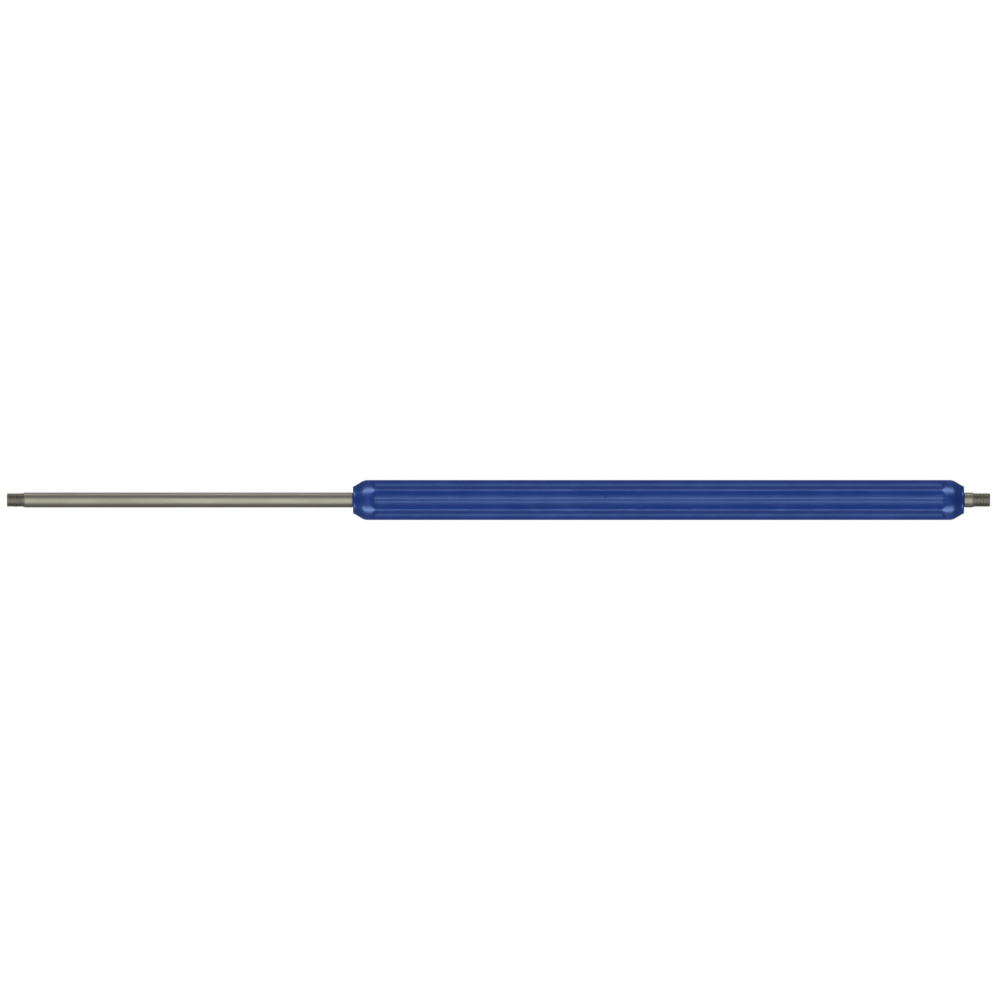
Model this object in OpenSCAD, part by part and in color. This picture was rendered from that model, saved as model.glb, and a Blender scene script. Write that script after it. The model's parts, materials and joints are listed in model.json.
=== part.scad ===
// High-pressure washer lance: a straight steel tube threaded at both ends,
// with a long fluted heat-insulating grip that turns on it.
// +X runs along the tube towards the inlet, +Z is up, and the origin is the
// centre of the bore at the inlet end face.

/* [Lance tube] */
// Overall length, end face to end face
lance_len = 900; // [800:10:1200]
// Outside diameter of the steel tube
tube_d = 13.7; // [13.5:0.1:14]
// Diameter of the bore that carries the water
bore_d = 9.2; // [6:0.1:9.4]
// Bare tube between the outlet end face and the grip
outlet_bare_len = 316; // [200:1:400]
// Bare tube between the inlet end face and the grip
inlet_bare_len = 23; // [20:1:60]

/* [Pipe threads] */
// Major diameter of the parallel quarter-inch pipe thread
thread_d = 13.157; // [13.1:0.001:13.2]
// Diameter at the thread's roots, where the lead-in chamfer starts
thread_root_d = 11.445; // [11.4:0.001:11.5]
// Length of each thread at its full diameter
thread_len = 14.7; // [8:0.1:16]
// Length of the lead-in chamfer at each end face
thread_lead = 1; // [0.5:0.1:1.5]
// Length of the shoulder from the thread up to the bare tube
thread_shoulder = 1; // [0.5:0.1:1.5]

/* [Grip outside] */
// Diameter over the collars and the flute crests
grip_d = 36.6; // [34:0.2:40]
// Length of the cone at each end of the grip
cone_len = 11.1; // [8:0.1:14]
// Diameter that the cone would reach at the end face
cone_end_d = 23; // [21:0.5:26]
// Size of the bevel round the end face
face_bevel = 1.8; // [1:0.1:2.5]
// Number of flutes round the grip
flute_count = 6; // [6:6:6]
// Depth of a flute below the crests
flute_depth = 4.0; // [3:0.05:5]
// Slope of a flute's two flanks, in degrees
flute_flank = 21; // [16:1:26]
// Distance from the end face to a flute's tip
flute_tip = 15.8; // [14:0.1:20]
// Slope at which a flute runs out at its tip, in degrees
flute_run_out = 37; // [25:1:60]
// Distance from the axis to the flats that break a flute's edges
edge_flat_r = 16.0; // [15.4:0.1:17.4]

/* [Grip inside] */
// Wall left between a flute's floor and the hollow
grip_wall = 3; // [2:0.1:3.4]
// Thickness of the wall at each end face
end_wall = 6; // [4:0.5:8]
// Thickness of each cross web
web_t = 2.5; // [1.5:0.1:4]
// Width of the slots that lighten the crests
crest_slot_w = 2.4; // [1.5:0.1:3]
// Radius of the locating pegs on the seam
peg_r = 1.2; // [0.8:0.1:1.5]
// Height of the locating pegs above the seam
peg_h = 1.6; // [1:0.1:2.5]

/* [Bushes and spacers] */
// Outside diameter of the bushes and spacers
bush_d = 18.6; // [17:0.1:20]
// Length of each end bush
bush_len = 20; // [14:1:26]
// Length of each spacer
spacer_len = 12; // [8:1:20]
// Number of spacers between the end bushes
spacer_count = 4; // [4:1:4]
// Radial running gap on the tube
running_gap = 0.05; // [0.02:0.01:0.1]
// Section diameter of the O-rings
o_ring_t = 1.78; // [1.5:0.01:2]

/* [Thrust washers and stop rings] */
// Thickness of each thrust washer
washer_t = 1; // [0.8:0.1:1.5]
// Thickness of each stop ring
stop_ring_t = 1; // [0.8:0.1:1.2]
// Outside diameter of the stop rings
stop_ring_d = 17.6; // [16:0.1:19]
// Depth of the groove that holds a stop ring
ring_groove_depth = 0.5; // [0.3:0.05:0.6]
// End play between a thrust washer and its stop ring
end_play = 0.3; // [0.3:0.05:0.6]

/* [Hidden] */
$fn = 96;

steel = [0.62, 0.61, 0.55];
spring_steel = [0.35, 0.35, 0.37];
blue_plastic = [0.10, 0.20, 0.50];
white_plastic = [0.85, 0.84, 0.80];
black_rubber = [0.08, 0.08, 0.08];

tube_r = tube_d / 2;
bore_r = bore_d / 2;

thread_r = thread_d / 2;
thread_end = thread_lead + thread_len;

// The grip, measured inwards from either of its end faces
grip_len = lance_len - outlet_bare_len - inlet_bare_len;
grip_x0 = outlet_bare_len - lance_len;
grip_x1 = -inlet_bare_len;
grip_r = grip_d / 2;
cone_end_r = cone_end_d / 2;
cone_slope = (grip_r - cone_end_r) / cone_len;
tube_clear = 0.45;
hole_r = tube_r + tube_clear;
bush_r = bush_d / 2;
bush_end = end_wall + bush_len;
hollow_start = bush_end + web_t;

// Flutes are shallow V grooves, with a flat along each edge
flute_floor_r = grip_r - flute_depth;
edge_flat_slope = 2;

// The hollow between the end webs is divided by evenly spaced spacer seats
hollow_r = flute_floor_r - grip_wall;
seat_len = spacer_len + 2 * web_t;
seat_gap = (grip_len - 2 * hollow_start) / (spacer_count + 1);
crest_slot_z = 8.2;
crest_slot_reach = 13.4;
crest_slot_inset = 1;

// Locating pegs stand in the seam's top and bottom lands, beside each spacer seat
peg_z = (hollow_r + grip_r) / 2;
peg_gap = 0.05;
peg_end_gap = 0.2;
peg_count = 2 * (spacer_count + 1) - 1;

// Everything on the tube's axis
running_r = tube_r + running_gap;
o_ring_r = running_r + o_ring_t / 2;
o_groove_r = running_r + o_ring_t + running_gap;
o_groove_w = 2.3;
o_ring_at = bush_len / 4;
washer_at = hollow_start;
stop_ring_at = washer_at + washer_t + end_play;
ring_groove_r = tube_r - ring_groove_depth;
ring_groove_side = 0.05;
stop_ring_gap = 3;

overcut = 1;

// Lays a shape that was turned about Z along X, with its base at x
module along_x(x) {
    translate([x, 0, 0]) rotate([0, 90, 0]) children();
}

// A solid round bar from x0 to x1
module bar(r, x0, x1) {
    along_x(x0) cylinder(r = r, h = x1 - x0);
}

// A ring between two radii from x0 to x1
module ring(r_in, r_out, x0, x1) {
    difference() {
        bar(r_out, x0, x1);
        bar(r_in, x0 - overcut, x1 + overcut);
    }
}

// Places what is drawn from a grip end face inwards
module at_outlet_end() {
    translate([grip_x0, 0, 0]) children();
}

module at_inlet_end() {
    translate([grip_x1, 0, 0]) mirror([1, 0, 0]) children();
}

// One threaded end, from the end face inwards, as [radius, distance] points;
// the thread is drawn as a plain cylinder over its crests
thread_points = [
    [thread_root_d / 2, 0],
    [thread_r, thread_lead],
    [thread_r, thread_end],
    [tube_r, thread_end + thread_shoulder]
];

// One stop ring groove, from the end face inwards
function groove_points(at) = [
    [tube_r, at - ring_groove_side],
    [ring_groove_r, at - ring_groove_side],
    [ring_groove_r, at + stop_ring_t + ring_groove_side],
    [tube_r, at + stop_ring_t + ring_groove_side]
];

// Turns an end's points round, so that they run towards the inlet end face
function from_inlet(points) = [
    for (i = [len(points) - 1 : -1 : 0])
        [points[i][0], lance_len - points[i][1]]
];

module lance_tube() {
    outline = concat(
        [[bore_r, 0]],
        thread_points,
        groove_points(outlet_bare_len + stop_ring_at),
        from_inlet(groove_points(inlet_bare_len + stop_ring_at)),
        from_inlet(thread_points),
        [[bore_r, lance_len]]
    );
    color(steel) along_x(-lance_len) rotate_extrude() polygon(outline);
}

// A hollow round the tube from a to b, as [radius, distance] points
function pocket(r, a, b) = [[hole_r, a], [r, a], [r, b], [hole_r, b]];

// Where spacer i starts, from the grip's outlet end face
function spacer_at(i) = hollow_start + i * seat_gap - spacer_len / 2;

// Where the stretch after spacer i starts and ends, less the webs of the seats
function stretch_start(i) = hollow_start + i * seat_gap + (i == 0 ? 0 : seat_len / 2);
function stretch_end(i) =
    hollow_start + (i + 1) * seat_gap - (i == spacer_count ? 0 : seat_len / 2);

// Each stretch is two bays with a web midway between them
function bay_len(i) = (stretch_end(i) - stretch_start(i) - web_t) / 2;
function bay_at(i, half) = stretch_start(i) + half * (bay_len(i) + web_t);

// The hollows of one stretch, with the seat of the spacer that ends it
function stretch_points(i) = concat(
    pocket(hollow_r, bay_at(i, 0), bay_at(i, 0) + bay_len(i)),
    pocket(hollow_r, bay_at(i, 1), bay_at(i, 1) + bay_len(i)),
    i == spacer_count ? [] : pocket(bush_r, spacer_at(i + 1), spacer_at(i + 1) + spacer_len)
);

// The inside of the grip, from the outlet end face to the inlet end face
inside_points = concat(
    [[hole_r, 0]],
    pocket(bush_r, end_wall, bush_end),
    [for (i = [0 : spacer_count]) each stretch_points(i)],
    pocket(bush_r, grip_len - bush_end, grip_len - end_wall),
    [[hole_r, grip_len]]
);

// The outside of the grip, from the inlet end face back to the outlet end face
bevel_r = cone_end_r + cone_slope * face_bevel;
outside_points = [
    [cone_end_r - face_bevel, grip_len],
    [bevel_r, grip_len - face_bevel],
    [grip_r, grip_len - cone_len],
    [grip_r, cone_len],
    [bevel_r, face_bevel],
    [cone_end_r - face_bevel, 0]
];

// A long wedge above the grip's +Y side, with its keel at keel_r from the axis,
// flanks that rise sideways at a slope, and ends that run out at the flutes' tips
module wedge(keel_r, slope) {
    top = grip_r + overcut;
    keel_start = flute_tip + (grip_r - keel_r) / tan(flute_run_out);
    x0 = grip_x0 + keel_start;
    x1 = grip_x1 - keel_start;
    half_w = (top - keel_r) / tan(slope);
    end_len = (top - keel_r) / tan(flute_run_out);
    polyhedron(
        points = [
            [x0, keel_r, 0],
            [x1, keel_r, 0],
            [x0, top, half_w],
            [x0, top, -half_w],
            [x1, top, half_w],
            [x1, top, -half_w],
            [x0 - end_len, top, 0],
            [x1 + end_len, top, 0]
        ],
        faces = [
            [6, 3, 5, 7, 4, 2],
            [2, 4, 1, 0],
            [5, 3, 0, 1],
            [6, 2, 0],
            [3, 6, 0],
            [4, 7, 1],
            [7, 5, 1]
        ]
    );
}

// What cuts one flute
module flute() {
    wedge(flute_floor_r, flute_flank);
    wedge(edge_flat_r, edge_flat_slope);
}

// The slots that lighten the crests of one bay
module crest_slots(i, half) {
    slot_x = grip_x0 + bay_at(i, half) + crest_slot_inset;
    for (side = [-1, 1])
        translate([slot_x, 0, side * crest_slot_z - crest_slot_w / 2])
            cube([bay_len(i) - 2 * crest_slot_inset, crest_slot_reach, crest_slot_w]);
}

// Pegs, or the sockets for them, in two rows along the seam
module seam_pegs(r, y0, y1) {
    for (i = [1 : peg_count], side = [-1, 1])
        translate([grip_x0 + i * grip_len / (peg_count + 1), y0, side * peg_z])
            rotate([-90, 0, 0])
                cylinder(r = r, h = y1 - y0);
}

// The half of the grip that faces +Y
module half_shell() {
    difference() {
        along_x(grip_x0) rotate_extrude(angle = 180)
            polygon(concat(inside_points, outside_points));
        for (i = [-1 : 1])
            rotate([i * 360 / flute_count, 0, 0]) flute();
        for (i = [0 : spacer_count], half = [0, 1])
            crest_slots(i, half);
    }
}

module grip_shell_front() {
    color(blue_plastic) union() {
        mirror([0, 1, 0]) half_shell();
        seam_pegs(peg_r, -peg_h, peg_h);
    }
}

module grip_shell_back() {
    color(blue_plastic) difference() {
        half_shell();
        seam_pegs(peg_r + peg_gap, -overcut, peg_h + peg_end_gap);
    }
}

// A bush with an O-ring groove in its bore, drawn from the grip's end face inwards
module end_bush() {
    o_x = end_wall + o_ring_at;
    color(white_plastic) difference() {
        ring(running_r, bush_r, end_wall, bush_end);
        bar(o_groove_r, o_x - o_groove_w / 2, o_x + o_groove_w / 2);
    }
}

module o_ring() {
    color(black_rubber) along_x(end_wall + o_ring_at)
        rotate_extrude() translate([o_ring_r, 0]) circle(d = o_ring_t);
}

module thrust_washer() {
    color(white_plastic) ring(running_r, bush_r, washer_at, washer_at + washer_t);
}

// A spring ring with a gap, sprung into its groove in the tube
module stop_ring() {
    color(spring_steel) difference() {
        ring(ring_groove_r, stop_ring_d / 2, stop_ring_at, stop_ring_at + stop_ring_t);
        translate([stop_ring_at - overcut, -stop_ring_gap / 2, 0])
            cube([stop_ring_t + 2 * overcut, stop_ring_gap, stop_ring_d]);
    }
}

module tube_spacer(i) {
    x = grip_x0 + spacer_at(i);
    color(white_plastic) ring(running_r, bush_r, x, x + spacer_len);
}

module outlet_end_bush() {
    at_outlet_end() end_bush();
}

module inlet_end_bush() {
    at_inlet_end() end_bush();
}

module outlet_o_ring() {
    at_outlet_end() o_ring();
}

module inlet_o_ring() {
    at_inlet_end() o_ring();
}

module outlet_thrust_washer() {
    at_outlet_end() thrust_washer();
}

module inlet_thrust_washer() {
    at_inlet_end() thrust_washer();
}

module outlet_stop_ring() {
    at_outlet_end() stop_ring();
}

module inlet_stop_ring() {
    at_inlet_end() stop_ring();
}

lance_tube();
grip_shell_front();
grip_shell_back();
outlet_end_bush();
inlet_end_bush();
outlet_o_ring();
inlet_o_ring();
outlet_thrust_washer();
inlet_thrust_washer();
outlet_stop_ring();
inlet_stop_ring();
for (i = [1 : spacer_count])
    tube_spacer(i);
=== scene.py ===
"""High-pressure washer lance with a fluted insulating grip: the looks, built round the CAD frame."""

import json
import math

import bpy
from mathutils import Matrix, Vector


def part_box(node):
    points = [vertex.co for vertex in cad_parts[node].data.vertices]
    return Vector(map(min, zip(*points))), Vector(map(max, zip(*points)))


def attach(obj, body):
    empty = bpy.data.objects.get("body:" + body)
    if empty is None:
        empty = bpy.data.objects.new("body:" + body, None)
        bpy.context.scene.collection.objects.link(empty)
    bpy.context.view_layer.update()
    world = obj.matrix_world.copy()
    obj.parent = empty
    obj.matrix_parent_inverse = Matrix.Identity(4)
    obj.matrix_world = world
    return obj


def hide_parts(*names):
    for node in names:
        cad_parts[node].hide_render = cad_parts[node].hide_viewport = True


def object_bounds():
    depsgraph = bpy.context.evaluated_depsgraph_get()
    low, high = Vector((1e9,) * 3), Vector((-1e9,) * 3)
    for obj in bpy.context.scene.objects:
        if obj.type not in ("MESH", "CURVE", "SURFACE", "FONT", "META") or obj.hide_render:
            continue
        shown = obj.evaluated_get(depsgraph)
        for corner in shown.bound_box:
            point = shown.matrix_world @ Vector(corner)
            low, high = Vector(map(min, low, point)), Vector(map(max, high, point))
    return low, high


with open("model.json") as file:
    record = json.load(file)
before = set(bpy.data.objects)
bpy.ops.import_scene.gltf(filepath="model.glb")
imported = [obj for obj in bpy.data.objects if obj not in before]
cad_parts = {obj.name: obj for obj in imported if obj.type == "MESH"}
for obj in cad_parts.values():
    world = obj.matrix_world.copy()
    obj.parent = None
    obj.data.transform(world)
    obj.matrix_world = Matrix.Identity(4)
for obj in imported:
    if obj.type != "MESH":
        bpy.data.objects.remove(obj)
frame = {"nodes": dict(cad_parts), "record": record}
cad_low, cad_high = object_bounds()

MM = 0.001

# --- sizes from the frame, in metres -------------------------------------------------

lance_low, lance_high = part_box("lance_tube")
shell_low, shell_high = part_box("grip_shell_front")
_, bush_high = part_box("outlet_end_bush")
mounts = {m["name"]: m for m in frame["record"]["mounts"]}

LANCE_X0, LANCE_X1 = lance_low.x, lance_high.x
GRIP_X0, GRIP_X1 = shell_low.x, shell_high.x
TUBE_R = lance_high.z
GRIP_R = shell_high.z
BUSH_R = bush_high.z
BORE_R = mounts["flow_bore"]["dims"]["r_mm"] * MM
THREAD_R = mounts["inlet_thread"]["dims"]["r_mm"] * MM

# --- design sizes that the frame's boxes don't give ----------------------------------

INCH = 25.4 * MM
TURNS_PER_INCH = 19
PITCH = INCH / TURNS_PER_INCH
DEPTH_IN_PITCHES = 0.64
ROOT_R = THREAD_R - DEPTH_IN_PITCHES * PITCH
THREAD_FLAT = 1 / 6
THREAD_LEN = mounts["inlet_thread"]["dims"]["length_mm"] * MM
THREAD_LEAD = 1.0 * MM
THREAD_END = THREAD_LEAD + THREAD_LEN
THREAD_SHOULDER = 1.0 * MM
RING_GROOVE_DEPTH = 0.5 * MM
MOUTH_BREAK = 0.25 * MM

TUBE_CLEARANCE = 0.45 * MM
HOLE_R = TUBE_R + TUBE_CLEARANCE
CONE_LEN = 11.1 * MM
CONE_END_R = 11.5 * MM
FACE_DOME = 0.6 * MM
FACE_ROUND = 1.6 * MM
SHOULDER_ROUND = 3.0 * MM
SEAM_SETBACK = 0.03 * MM
RUBBED_DEPTH = 0.6 * MM
GRIP_WALL = 3.0 * MM
WEB_T = 2.5 * MM
SPACERS = 4

# A flute is a V groove. Its keel runs level, and climbs to the grip's surface at the flute's tip.
FLUTES = 6
FLUTE_DEPTH = 4.0 * MM
FLANK_SLOPE = math.tan(math.radians(21))
FLUTE_TIP = 15.8 * MM
RUN_OUT_SLOPE = math.tan(math.radians(37))
KEEL_ROUND = 0.2 * MM
EDGE_ROUND = 3.4 * MM
TIP_EDGE_ROUND = 0.9 * MM
EVEN_MARGIN = 1.0 * MM

KEEL_R = GRIP_R - FLUTE_DEPTH
KEEL_START = FLUTE_TIP + FLUTE_DEPTH / RUN_OUT_SLOPE
EVEN_FROM = KEEL_START + EVEN_MARGIN
HOLLOW_R = KEEL_R - GRIP_WALL

# --- camera: the photograph's straight side view --------------------------------------

# The lance's length, and how far its middle lies left of the picture's, in picture widths.
PICTURE_FILL = 0.9831
LEFT_OF_CENTRE = 0.00145
CAMERA_DISTANCE = 3.0
SEEN_TO = 50.0

camera_data = bpy.data.cameras.new("side_view")
camera_data.type = "ORTHO"
camera_data.ortho_scale = (LANCE_X1 - LANCE_X0) / PICTURE_FILL
camera_data.clip_end = SEEN_TO
camera = bpy.data.objects.new("side_view", camera_data)
bpy.context.scene.collection.objects.link(camera)
camera.location = (
    (LANCE_X0 + LANCE_X1) / 2 + LEFT_OF_CENTRE * camera_data.ortho_scale,
    -CAMERA_DISTANCE,
    0,
)
camera.rotation_euler = (math.pi / 2, 0, 0)
bpy.context.scene.camera = camera


# --- small node helpers ---------------------------------------------------------------

NOISE_ROUGHNESS = 0.55


def new_material(name):
    """An empty node material with its Principled shader wired to the output."""
    material = bpy.data.materials.new(name)
    material.use_nodes = True
    tree = material.node_tree
    tree.nodes.clear()
    output = tree.nodes.new("ShaderNodeOutputMaterial")
    shader = tree.nodes.new("ShaderNodeBsdfPrincipled")
    tree.links.new(shader.outputs["BSDF"], output.inputs["Surface"])
    return material, tree, shader


def stretched_noise(tree, scale, detail):
    """Noise in object space, with its own count of blots to the metre along x, y and z."""
    coordinates = tree.nodes.new("ShaderNodeTexCoord")
    mapping = tree.nodes.new("ShaderNodeMapping")
    mapping.inputs["Scale"].default_value = scale
    noise = tree.nodes.new("ShaderNodeTexNoise")
    noise.inputs["Scale"].default_value = 1.0
    noise.inputs["Detail"].default_value = detail
    noise.inputs["Roughness"].default_value = NOISE_ROUGHNESS
    tree.links.new(coordinates.outputs["Object"], mapping.inputs["Vector"])
    tree.links.new(mapping.outputs["Vector"], noise.inputs["Vector"])
    return noise.outputs["Fac"]


def ramp(tree, factor, tones, start=0.3, end=0.7):
    """Fades from the first of two tones, at start, to the second, at end."""
    node = tree.nodes.new("ShaderNodeValToRGB")
    stops = zip(node.color_ramp.elements, (start, end), tones)
    for element, position, colour in stops:
        element.position = position
        element.color = (*colour, 1)
    tree.links.new(factor, node.inputs["Fac"])
    return node.outputs["Color"]


def spread(tree, factor, low, high, from_low=0.0, from_high=1.0):
    """Maps from_low..from_high to low..high, and no further."""
    node = tree.nodes.new("ShaderNodeMapRange")
    node.inputs["From Min"].default_value = from_low
    node.inputs["From Max"].default_value = from_high
    node.inputs["To Min"].default_value = low
    node.inputs["To Max"].default_value = high
    tree.links.new(factor, node.inputs["Value"])
    return node.outputs["Result"]


def axis_distance(tree):
    """Distance from the tube's axis, in metres."""
    coordinates = tree.nodes.new("ShaderNodeTexCoord")
    across = tree.nodes.new("ShaderNodeVectorMath")
    across.operation = "MULTIPLY"
    across.inputs[1].default_value = (0, 1, 1)
    length = tree.nodes.new("ShaderNodeVectorMath")
    length.operation = "LENGTH"
    tree.links.new(coordinates.outputs["Object"], across.inputs[0])
    tree.links.new(across.outputs["Vector"], length.inputs[0])
    return length.outputs["Value"]


def blended(tree, factor, colour_a, colour_b):
    """Two colours mixed by a factor socket."""
    node = tree.nodes.new("ShaderNodeMix")
    node.data_type = "RGBA"
    tree.links.new(factor, node.inputs["Factor"])
    tree.links.new(colour_a, node.inputs["A"])
    tree.links.new(colour_b, node.inputs["B"])
    return node.outputs["Result"]


def grey(level):
    """A neutral tone."""
    return (level, level, level)


def joined(tree, operation, a, b):
    """Two number sockets joined by a Math node."""
    node = tree.nodes.new("ShaderNodeMath")
    node.operation = operation
    tree.links.new(a, node.inputs[0])
    tree.links.new(b, node.inputs[1])
    return node.outputs["Value"]


def bumped(tree, shader, layers):
    """Stacks (height socket, distance in metres, strength) bumps into the shader's normal."""
    normal = None
    for height, distance, strength in layers:
        node = tree.nodes.new("ShaderNodeBump")
        node.inputs["Distance"].default_value = distance
        node.inputs["Strength"].default_value = strength
        tree.links.new(height, node.inputs["Height"])
        if normal:
            tree.links.new(normal, node.inputs["Normal"])
        normal = node.outputs["Normal"]
    tree.links.new(normal, shader.inputs["Normal"])


# --- materials ------------------------------------------------------------------------

# The darker and the lighter tone of each surface.
MOULD_BLUE = ((0.004, 0.016, 0.096), (0.007, 0.022, 0.122))
FADED_BLUE = ((0.004, 0.017, 0.100), (0.009, 0.025, 0.129))
RUBBED_BLUE = ((0.022, 0.045, 0.175), (0.034, 0.062, 0.215))
CLEAN_STEEL = ((0.50, 0.475, 0.385), (0.60, 0.575, 0.475))
HANDLED_STEEL = ((0.43, 0.405, 0.325), (0.52, 0.495, 0.405))
THREAD_STEEL = ((0.56, 0.54, 0.46), (0.72, 0.70, 0.61))
# Darker tone laid into the thread roots, where the mesh's pointiness is low.
THREAD_ROOT_DARK = ((0.030, 0.028, 0.022), (0.075, 0.070, 0.055))
BUSH_WHITE = ((0.70, 0.68, 0.61), (0.80, 0.78, 0.71))
RUBBER_BLACK = (grey(0.012), grey(0.04))
SPRING_BLACK = ((0.10, 0.10, 0.11), (0.17, 0.17, 0.18))
FLOOR_WHITE = (grey(0.84), grey(0.87))

BLUE_GLOSS = (0.36, 0.57, 1.0, 1)


def moulded_plastic():
    """Blue moulded plastic: flow marks along the mould, fine spark grain, rubbed where it stands out."""
    material, tree, shader = new_material("blue_moulded_plastic")
    flow = stretched_noise(tree, (9, 160, 160), 3)
    blotch = stretched_noise(tree, (45, 45, 45), 5)
    grain = stretched_noise(tree, (2600, 2600, 2600), 2)
    scuff = stretched_noise(tree, (70, 1500, 1500), 2)

    body = ramp(tree, flow, MOULD_BLUE)
    faded = ramp(tree, blotch, FADED_BLUE, start=0.35, end=0.75)
    fading = spread(tree, blotch, low=0.2, high=0.8)
    skin = blended(tree, fading, body, faded)
    rubbed_from = GRIP_R - RUBBED_DEPTH
    standing_out = spread(tree, axis_distance(tree), 0, 1, from_low=rubbed_from, from_high=GRIP_R)
    patchy = spread(tree, blotch, low=0, high=0.5, from_low=0.4, from_high=0.7)
    rubbed = joined(tree, "MULTIPLY", standing_out, patchy)
    worn_blue = ramp(tree, grain, RUBBED_BLUE)
    tree.links.new(blended(tree, rubbed, skin, worn_blue), shader.inputs["Base Color"])

    matt = spread(tree, blotch, low=0.25, high=0.34)
    scuffed = spread(tree, scuff, low=0, high=0.10, from_low=0.5, from_high=0.75)
    tree.links.new(joined(tree, "ADD", matt, scuffed), shader.inputs["Roughness"])
    shader.inputs["IOR"].default_value = 1.5
    shader.inputs["Specular IOR Level"].default_value = 0.75
    shader.inputs["Specular Tint"].default_value = BLUE_GLOSS
    bumped(tree, shader, [
        (flow, 0.4 * MM, 0.10),
        (grain, 0.03 * MM, 0.25),
        (scuff, 0.02 * MM, 0.12),
    ])
    return material


def drawn_steel():
    """Satin warm-grey tube with fine lines drawn along it and faint handling marks."""
    material, tree, shader = new_material("drawn_steel")
    lines = stretched_noise(tree, (14, 2400, 2400), 3)
    smears = stretched_noise(tree, (22, 90, 90), 5)
    clean = ramp(tree, lines, CLEAN_STEEL)
    handled = ramp(tree, lines, HANDLED_STEEL)
    marked = ramp(tree, smears, (grey(0), grey(0.8)), start=0.42, end=0.72)
    tree.links.new(blended(tree, marked, clean, handled), shader.inputs["Base Color"])
    tree.links.new(spread(tree, smears, low=0.34, high=0.50), shader.inputs["Roughness"])
    shader.inputs["Metallic"].default_value = 1.0
    bumped(tree, shader, [
        (lines, 0.03 * MM, 0.35),
        (smears, 0.2 * MM, 0.05),
    ])
    return material


def cut_thread():
    """Bright cut thread with fine turning marks, an uneven film of oil, and a darker tone in the roots,
    where the mesh's pointiness is low.
    """
    material, tree, shader = new_material("cut_thread_steel")
    turning = stretched_noise(tree, (5200, 260, 260), 3)
    oil = stretched_noise(tree, (260, 260, 260), 5)
    surface = tree.nodes.new("ShaderNodeNewGeometry")
    steel = ramp(tree, turning, THREAD_STEEL)
    root_dark = ramp(tree, oil, THREAD_ROOT_DARK, end=0.75)
    # The roots, where pointiness is low, take the darker tone; the crests and flanks keep the steel.
    clean = ramp(tree, surface.outputs["Pointiness"], (grey(0.15), grey(1)), start=0.44, end=0.53)
    tree.links.new(blended(tree, clean, root_dark, steel), shader.inputs["Base Color"])
    tree.links.new(spread(tree, oil, low=0.30, high=0.48), shader.inputs["Roughness"])
    shader.inputs["Metallic"].default_value = 1.0
    bumped(tree, shader, [(turning, 0.03 * MM, 0.4)])
    return material


def turned_plastic():
    """Off-white turned plastic with fine rings from the lathe."""
    material, tree, shader = new_material("bush_plastic")
    rings = stretched_noise(tree, (4200, 90, 90), 2)
    tree.links.new(ramp(tree, rings, BUSH_WHITE), shader.inputs["Base Color"])
    tree.links.new(spread(tree, rings, low=0.45, high=0.6), shader.inputs["Roughness"])
    bumped(tree, shader, [(rings, 0.04 * MM, 0.3)])
    return material


def black_rubber():
    """Black nitrile rubber with a dusty bloom."""
    material, tree, shader = new_material("black_rubber")
    bloom = stretched_noise(tree, (700, 700, 700), 4)
    tree.links.new(ramp(tree, bloom, RUBBER_BLACK, start=0.4, end=0.8), shader.inputs["Base Color"])
    tree.links.new(spread(tree, bloom, low=0.5, high=0.75), shader.inputs["Roughness"])
    bumped(tree, shader, [(bloom, 0.04 * MM, 0.3)])
    return material


def spring_steel():
    """Dark oil-blacked spring steel."""
    material, tree, shader = new_material("spring_steel")
    tone = stretched_noise(tree, (500, 500, 500), 4)
    tree.links.new(ramp(tree, tone, SPRING_BLACK), shader.inputs["Base Color"])
    tree.links.new(spread(tree, tone, low=0.3, high=0.45), shader.inputs["Roughness"])
    shader.inputs["Metallic"].default_value = 1.0
    bumped(tree, shader, [(tone, 0.03 * MM, 0.3)])
    return material


def pale_floor():
    """Pale matt floor."""
    material, tree, shader = new_material("pale_floor")
    cloud = stretched_noise(tree, (1.5, 1.5, 1.5), 3)
    tree.links.new(ramp(tree, cloud, FLOOR_WHITE), shader.inputs["Base Color"])
    shader.inputs["Roughness"].default_value = 0.9
    shader.inputs["Specular IOR Level"].default_value = 0.1
    return material


# --- mesh helpers -----------------------------------------------------------------------

def arc_steps(low, high, step):
    """Evenly spaced values from low to high, no further apart than step."""
    count = max(1, math.ceil((high - low) / step))
    return [low + (high - low) * i / count for i in range(count + 1)]


def mesh_object(name, points, faces, material, sharp_angle):
    """A smooth-shaded mesh object, with edges sharper than the angle kept sharp."""
    mesh = bpy.data.meshes.new(name)
    mesh.from_pydata(points, [], faces)
    mesh.validate()
    mesh.update()
    mesh.materials.append(material)
    piece = bpy.data.objects.new(name, mesh)
    bpy.context.scene.collection.objects.link(piece)
    mesh.polygons.foreach_set("use_smooth", [True] * len(mesh.polygons))
    mesh.set_sharp_from_angle(angle=sharp_angle)
    return piece


def grid_faces(rows, columns, closed_rows, closed_columns):
    """Quads of a grid whose point (i, j) has index i * columns + j."""
    faces = []
    for i in range(rows if closed_rows else rows - 1):
        for j in range(columns if closed_columns else columns - 1):
            a = i * columns + j
            b = i * columns + (j + 1) % columns
            c = (i + 1) % rows * columns + (j + 1) % columns
            d = (i + 1) % rows * columns + j
            faces.append((a, b, c, d))
    return faces


def around(x, r, angle):
    """A point at radius r, turned by angle about +X from -Y."""
    return (x, -r * math.cos(angle), -r * math.sin(angle))


def round_ring(x, r):
    """A station at x whose radius is r all the way round."""
    return (x, lambda place: r)


# --- the steel tube with its helical threads ------------------------------------------

THREAD_SAMPLES = 24
TUBE_SIDES = 128
TUBE_SHARP_ANGLE = math.radians(50)


def thread_depth(phase):
    """0 on a crest and 1 on a root, with flats THREAD_FLAT of a pitch wide on both."""
    wave = 1 - abs(2 * (phase % 1.0) - 1)
    return min(1.0, max(0.0, (wave - THREAD_FLAT) / (1 - 2 * THREAD_FLAT)))


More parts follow.
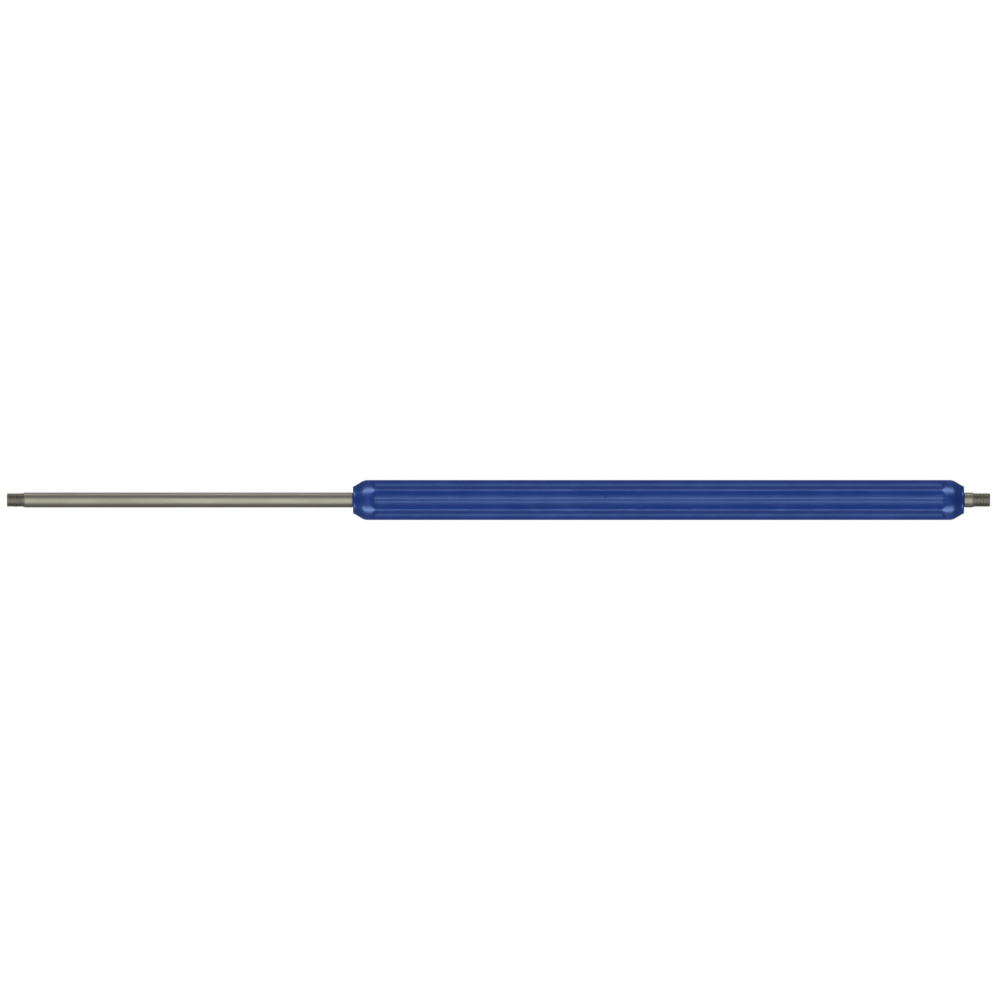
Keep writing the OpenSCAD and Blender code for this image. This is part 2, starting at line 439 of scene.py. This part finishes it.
def threaded_r(distance, turn):
    """Radius of a threaded end, at a distance from its end face and a share of a turn."""
    form = THREAD_R - (THREAD_R - ROOT_R) * thread_depth(distance / PITCH - turn)
    lead = ROOT_R + (THREAD_R - ROOT_R) * distance / THREAD_LEAD
    past_thread = distance - THREAD_END
    shoulder = THREAD_R + (TUBE_R - THREAD_R) * past_thread / THREAD_SHOULDER
    fade = ROOT_R + (THREAD_R - ROOT_R) * (past_thread + PITCH) / PITCH
    wall = min(fade, THREAD_R) if past_thread < 0 else min(shoulder, TUBE_R)
    return max(min(form, lead), wall, ROOT_R)


def threaded_ring(end_x, inward, distance):
    """A station of a threaded end: inward is 1 at the outlet and -1 at the inlet."""
    return (end_x + inward * distance, lambda turn: threaded_r(distance, inward * turn))


def tube_stations():
    """(x, radius at a share of a turn) along the outside and back through the bore."""
    distances = arc_steps(0, THREAD_END + THREAD_SHOULDER, PITCH / THREAD_SAMPLES)
    stations = [threaded_ring(LANCE_X0, 1, distance) for distance in distances]
    for node in ("outlet_stop_ring", "inlet_stop_ring"):
        low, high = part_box(node)
        stations += [
            round_ring(low.x, TUBE_R),
            round_ring(low.x, TUBE_R - RING_GROOVE_DEPTH),
            round_ring(high.x, TUBE_R - RING_GROOVE_DEPTH),
            round_ring(high.x, TUBE_R),
        ]
    stations += [threaded_ring(LANCE_X1, -1, distance) for distance in reversed(distances)]
    stations += [
        round_ring(LANCE_X1, BORE_R + MOUTH_BREAK),
        round_ring(LANCE_X1 - MOUTH_BREAK, BORE_R),
        round_ring(LANCE_X0 + MOUTH_BREAK, BORE_R),
        round_ring(LANCE_X0, BORE_R + MOUTH_BREAK),
    ]
    return stations


def build_tube(plain, threaded):
    """The tube as one closed mesh, with the second material on both threads."""
    stations = tube_stations()
    points = []
    for x, radius_at in stations:
        for j in range(TUBE_SIDES):
            turn = j / TUBE_SIDES
            points.append(around(x, radius_at(turn), turn * 2 * math.pi))
    faces = grid_faces(len(stations), TUBE_SIDES, True, True)
    piece = mesh_object("steel_tube", points, faces, plain, TUBE_SHARP_ANGLE)
    piece.data.materials.append(threaded)
    for face in piece.data.polygons:
        from_end = min(face.center.x - LANCE_X0, LANCE_X1 - face.center.x)
        if from_end < THREAD_END:
            face.material_index = 1
    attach(piece, "tube")
    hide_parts("lance_tube")
    return piece


# --- the two grip shells ------------------------------------------------------------------

ROUND_STEP = math.radians(1.0)
FACE_TURN_STEP = math.radians(9)
CONE_STEP = 1.0 * MM
SHOULDER_STEP = 0.4 * MM
RUN_OUT_STEP = 0.3 * MM
EVEN_STEP = 12.0 * MM
FACE_RINGS = 5
SHELL_SHARP_ANGLE = math.radians(44)


def smooth_min(a, b, width):
    """The smaller of a and b, with the corner rounded where they are within width of each other."""
    blend = max(0.0, width - abs(a - b)) / width
    return min(a, b) - blend * blend * width / 4


def plain_r(distance):
    """Radius of the grip without flutes, at a distance from its nearer end face."""
    slope = (GRIP_R - CONE_END_R) / CONE_LEN
    cone = CONE_END_R + slope * distance
    r = smooth_min(cone, GRIP_R, SHOULDER_ROUND * slope)
    past_face = distance - FACE_DOME
    if past_face < FACE_ROUND:
        short = 1 - past_face / FACE_ROUND
        drop = FACE_ROUND * (1 - math.sqrt(max(0.0, 1 - short * short)))
        r = CONE_END_R + slope * (FACE_DOME + FACE_ROUND) - drop
    return r


def flute_cut_r(distance, angle):
    """Radius of a flute's V at a distance from the end face and an angle from its keel."""
    keel = KEEL_R + RUN_OUT_SLOPE * max(0.0, KEEL_START - distance)
    blunt = KEEL_ROUND / KEEL_R
    sideways = math.hypot(math.sin(angle), blunt) - blunt
    return keel / (math.cos(angle) - FLANK_SLOPE * sideways)


def grip_r(distance, angle):
    """Radius of the grip at a distance from its nearer end face and an angle from -Y."""
    share = 2 * math.pi / FLUTES
    from_keel = (angle + share / 2) % share - share / 2
    cut = flute_cut_r(distance, from_keel)
    along = (distance - FLUTE_TIP) / (KEEL_START - FLUTE_TIP)
    grown = min(1.0, max(0.0, along))
    edge_round = TIP_EDGE_ROUND + (EDGE_ROUND - TIP_EDGE_ROUND) * grown
    return smooth_min(plain_r(distance), cut, edge_round)


def end_distances():
    """Distances from an end face where the outside has a ring of points, up to EVEN_FROM."""
    cone_from = FACE_DOME + FACE_ROUND
    shoulder_from = CONE_LEN - SHOULDER_ROUND
    shoulder_to = CONE_LEN + SHOULDER_ROUND
    turns = arc_steps(0, math.pi / 2, FACE_TURN_STEP)
    face_turn = [FACE_DOME + FACE_ROUND * (1 - math.cos(turn)) for turn in turns]
    cone = arc_steps(cone_from, shoulder_from, CONE_STEP)[1:]
    shoulder = arc_steps(shoulder_from, shoulder_to, SHOULDER_STEP)[1:]
    run_out = arc_steps(shoulder_to, EVEN_FROM, RUN_OUT_STEP)[1:]
    return face_turn + cone + shoulder + run_out


def fluted_ring(x, distance):
    """A station of the grip's outside, at x and at a distance from its nearer end face."""
    return (x, lambda angle: grip_r(distance, angle))


def outside_stations():
    """(x, radius at an angle) along the outside, between the rims of the two end faces."""
    ends = end_distances()
    even = arc_steps(GRIP_X0 + EVEN_FROM, GRIP_X1 - EVEN_FROM, EVEN_STEP)[1:-1]
    stations = [fluted_ring(GRIP_X0 + distance, distance) for distance in ends]
    stations += [fluted_ring(x, EVEN_FROM) for x in even]
    stations += [fluted_ring(GRIP_X1 - distance, distance) for distance in reversed(ends)]
    return stations


def inside_stations():
    """(x, radius at an angle) along the inside, from the outlet's bush to the inlet's."""
    spacers = [f"tube_spacer_{number}" for number in range(1, SPACERS + 1)]
    seats = [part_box(node) for node in ("outlet_end_bush", *spacers, "inlet_end_bush")]
    outline = []
    for i, (low, high) in enumerate(seats):
        outline += [(low.x, HOLE_R), (low.x, BUSH_R), (high.x, BUSH_R), (high.x, HOLE_R)]
        if i + 1 < len(seats):
            start = high.x + WEB_T
            end = seats[i + 1][0].x - WEB_T
            middle = (start + end) / 2
            for a, b in ((start, middle - WEB_T / 2), (middle + WEB_T / 2, end)):
                outline += [(a, HOLE_R), (a, HOLLOW_R), (b, HOLLOW_R), (b, HOLE_R)]
    return [round_ring(x, r) for x, r in outline]


def shell_stations():
    """All the rings of a shell: outlet face, outside, inlet face, and back along the inside."""
    rim_r = plain_r(FACE_DOME)
    shares = [i / FACE_RINGS for i in range(FACE_RINGS)]
    face = [(FACE_DOME * t * t, HOLE_R + (rim_r - HOLE_R) * t) for t in shares]
    outlet_face = [round_ring(GRIP_X0 + distance, r) for distance, r in face]
    inlet_face = [round_ring(GRIP_X1 - distance, r) for distance, r in reversed(face)]
    return outlet_face + outside_stations() + inlet_face + inside_stations()[::-1]


def seam_face(rows, columns, edge):
    """The flat face along one edge of a shell, as one polygon of the whole outline."""
    loop = [i * columns + edge for i in range(rows)]
    return tuple(loop if edge == 0 else reversed(loop))


def build_shell(name, node, side, material):
    """One half shell: side 1 faces -Y and side -1 faces +Y."""
    angles = arc_steps(-math.pi / 2, math.pi / 2, ROUND_STEP)
    columns = len(angles)
    seam_columns = (0, columns - 1)
    stations = shell_stations()
    points = []
    for station_x, radius_at in stations:
        for column, angle in enumerate(angles):
            x, y, z = around(station_x, radius_at(angle), angle)
            if column in seam_columns:
                y = min(y, -SEAM_SETBACK)
            points.append((x, side * y, z))

    faces = grid_faces(len(stations), columns, True, False)
    faces += [seam_face(len(stations), columns, edge) for edge in seam_columns]
    if side > 0:
        faces = [tuple(reversed(face)) for face in faces]
    piece = mesh_object(name, points, faces, material, SHELL_SHARP_ANGLE)
    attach(piece, "grip")
    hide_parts(node)
    return piece


# --- build the object -----------------------------------------------------------------------

plastic = moulded_plastic()
tube = build_tube(drawn_steel(), cut_thread())
front_shell = build_shell("front_shell", "grip_shell_front", 1, plastic)
back_shell = build_shell("back_shell", "grip_shell_back", -1, plastic)

INNER_MATERIALS = {
    "bush": turned_plastic(),
    "o_ring": black_rubber(),
    "stop_ring": spring_steel(),
}
for part in frame["record"]["subparts"]:
    if part["material_slot"] in INNER_MATERIALS:
        inner_mesh = frame["nodes"][part["node"]].data
        inner_mesh.materials.clear()
        inner_mesh.materials.append(INNER_MATERIALS[part["material_slot"]])


# --- floor, light and background --------------------------------------------------------------

FLOOR_REACH = 30.0
STRIP_LENGTH = 2.6
FRONT_STRIP_DISTANCE = 1.2
FLOOR_LIGHT_POWER = 2.6
FLOOR_LIGHT_SOFTNESS = math.radians(40)
FLOOR_LIGHT_TILT = (math.radians(12), math.radians(8), 0)
SURROUND_TINT = (0.95, 0.97, 1, 1)
SURROUND_POWER = 0.17
WHITE = (1, 1, 1, 1)


def lay_floor():
    """A floor at the object's lowest point, which neither shades the object nor shows in it."""
    corners = ((-1, -1), (1, -1), (1, 1), (-1, 1))
    floor_mesh = bpy.data.meshes.new("floor")
    floor_mesh.from_pydata(
        [(x * FLOOR_REACH, y * FLOOR_REACH, cad_low.z) for x, y in corners],
        [],
        [(0, 1, 2, 3)],
    )
    floor_mesh.materials.append(pale_floor())
    piece = bpy.data.objects.new("floor", floor_mesh)
    bpy.context.scene.collection.objects.link(piece)
    piece.visible_glossy = False
    piece.visible_shadow = False
    piece.visible_diffuse = False
    return piece


def light_group(name, pieces):
    """A collection of the pieces that a light shines on."""
    group = bpy.data.collections.new(name)
    for piece in pieces:
        group.objects.link(piece)
    return group


def strip_light(name, elevation, height, power, distance=FRONT_STRIP_DISTANCE, shines_on=None):
    """A strip of light along X that faces the lance: 0 degrees is in front of it, 90 above."""
    data = bpy.data.lights.new(name, "AREA")
    data.shape = "RECTANGLE"
    data.size = STRIP_LENGTH
    data.size_y = height
    data.energy = power
    light = bpy.data.objects.new(name, data)
    bpy.context.scene.collection.objects.link(light)
    angle = math.radians(elevation)
    middle = (LANCE_X0 + LANCE_X1) / 2
    light.location = (middle, -distance * math.cos(angle), distance * math.sin(angle))
    light.rotation_euler = (math.pi / 2 - angle, 0, 0)
    light.visible_camera = False
    if shines_on:
        light.light_linking.receiver_collection = shines_on


def light_floor(shines_on):
    """A soft high light for the floor alone."""
    data = bpy.data.lights.new("floor_light", "SUN")
    data.energy = FLOOR_LIGHT_POWER
    data.angle = FLOOR_LIGHT_SOFTNESS
    light = bpy.data.objects.new("floor_light", data)
    bpy.context.scene.collection.objects.link(light)
    light.rotation_euler = FLOOR_LIGHT_TILT
    light.light_linking.receiver_collection = shines_on


def surround():
    """A surround that looks white and shines only dimly."""
    world = bpy.data.worlds.new("white_surround")
    bpy.context.scene.world = world
    world.use_nodes = True
    tree = world.node_tree
    tree.nodes.clear()
    output = tree.nodes.new("ShaderNodeOutputWorld")
    seen = tree.nodes.new("ShaderNodeBackground")
    seen.inputs["Color"].default_value = WHITE
    shining = tree.nodes.new("ShaderNodeBackground")
    shining.inputs["Color"].default_value = SURROUND_TINT
    shining.inputs["Strength"].default_value = SURROUND_POWER
    path = tree.nodes.new("ShaderNodeLightPath")
    switch = tree.nodes.new("ShaderNodeMixShader")
    tree.links.new(path.outputs["Is Camera Ray"], switch.inputs["Fac"])
    tree.links.new(shining.outputs["Background"], switch.inputs[1])
    tree.links.new(seen.outputs["Background"], switch.inputs[2])
    tree.links.new(switch.outputs["Shader"], output.inputs["Surface"])


floor = lay_floor()
grip_pieces = light_group("lit_by_the_grip_strips", (front_shell, back_shell))
tube_pieces = light_group("lit_by_the_tube_strips", (tube,))
floor_pieces = light_group("lit_by_the_floor_light", (floor,))
strip_light("upper_strip", elevation=58, height=0.60, power=33, shines_on=grip_pieces)
strip_light("lower_strip", elevation=-58, height=0.60, power=35, shines_on=grip_pieces)
strip_light("tube_front", elevation=-14, height=1.9, power=12, shines_on=tube_pieces)
strip_light("tube_top", elevation=100, height=1.0, power=5, distance=1.6, shines_on=tube_pieces)
strip_light("back_strip", elevation=180, height=0.4, power=12, distance=1.4)
light_floor(floor_pieces)
surround()

bpy.context.scene.view_settings.view_transform = "Standard"
bpy.context.scene.view_settings.look = "None"
